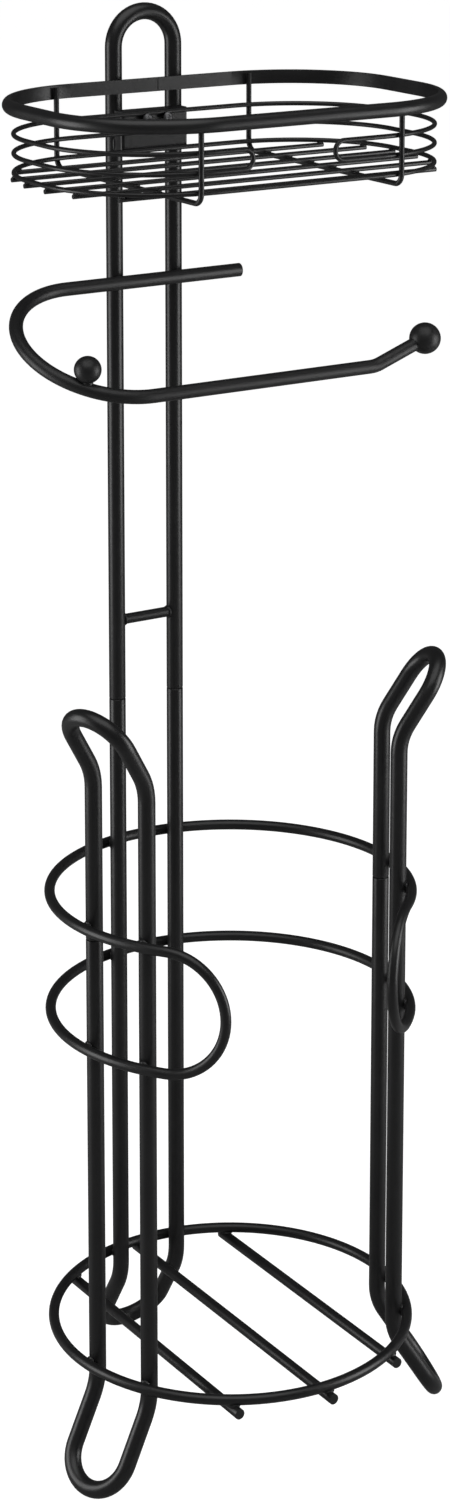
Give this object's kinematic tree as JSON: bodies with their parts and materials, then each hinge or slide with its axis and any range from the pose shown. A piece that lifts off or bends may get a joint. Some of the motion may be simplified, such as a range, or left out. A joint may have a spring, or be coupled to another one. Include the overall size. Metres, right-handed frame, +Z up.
{
  "type": "toilet paper holder",
  "caption": "Free-standing black wire stand that stores spare toilet rolls between hairpin legs, with a roll arm on a tall post and a wire basket on top.",
  "frame": {"origin": "on the floor, on the axis of the base ring and the guard's rings", "axes": "+Z up; -Y is the front, the post stands at +Y; +X runs along the basket to the right seen from the front"},
  "size_m": [0.2119, 0.1957, 0.681],
  "materials": {
    "powder_coat": "satin black powder coat",
    "screws": "black screw finish",
    "inner_steel": "plain zinc-plated steel"
  },
  "bodies": {
    "stand": {"rear_post_lower": "powder_coat", "left_leg": "powder_coat", "right_leg": "powder_coat", "left_leg_plug": "inner_steel", "right_leg_plug": "inner_steel", "left_spigot": "inner_steel", "right_spigot": "inner_steel", "base_ring": "powder_coat", "base_wire_left": "powder_coat", "base_wire_middle": "powder_coat", "base_wire_right": "powder_coat", "guard_wire": "powder_coat"},
    "upper_post": {"rear_post_upper": "powder_coat", "crossbar": "powder_coat", "roll_arm": "powder_coat", "arm_end_ball": "powder_coat", "arm_stop_ball": "powder_coat", "post_bracket": "powder_coat", "bracket_screws": "screws", "basket_rim": "powder_coat", "basket_side_wire": "powder_coat", "basket_bottom_hoop": "powder_coat", "floor_wire_1": "powder_coat", "floor_wire_2": "powder_coat", "floor_wire_3": "powder_coat", "floor_wire_4": "powder_coat", "floor_wire_5": "powder_coat", "floor_wire_6": "powder_coat", "cross_wire_left": "powder_coat", "cross_wire_right": "powder_coat"}
  },
  "joints": [
    {"name": "post_lift", "type": "slide", "parent": "stand", "child": "upper_post", "axis": [0, 0, 1], "range_m": [0, 0.03]}
  ]
}
